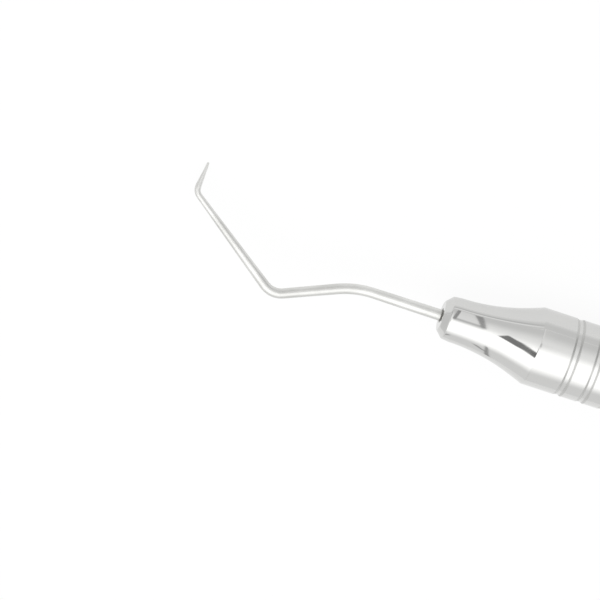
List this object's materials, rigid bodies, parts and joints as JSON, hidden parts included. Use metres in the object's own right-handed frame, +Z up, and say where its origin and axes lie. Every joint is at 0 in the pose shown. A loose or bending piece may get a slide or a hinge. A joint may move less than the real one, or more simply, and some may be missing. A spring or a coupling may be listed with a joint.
{
  "type": "dental explorer",
  "caption": "Single-ended dental explorer: a bent, tapered steel wire with a fine right-angle tip, in a hollow polished handle with a flared nose and ring grooves.",
  "frame": {"origin": "centre of the footprint of the bounding box, on the surface that the explorer lies on", "axes": "+X along the handle from the working end to the tail, +Z up from the surface that the explorer lies on, +Y the side that the tip leans down to"},
  "size_m": [0.165, 0.012, 0.0095],
  "materials": {
    "handle_steel": "mirror-polished stainless steel",
    "working_end_steel": "finely ground and polished stainless steel"
  },
  "bodies": {
    "root": {"handle": "handle_steel", "working_end": "working_end_steel", "end_plug": "handle_steel"}
  },
  "joints": []
}
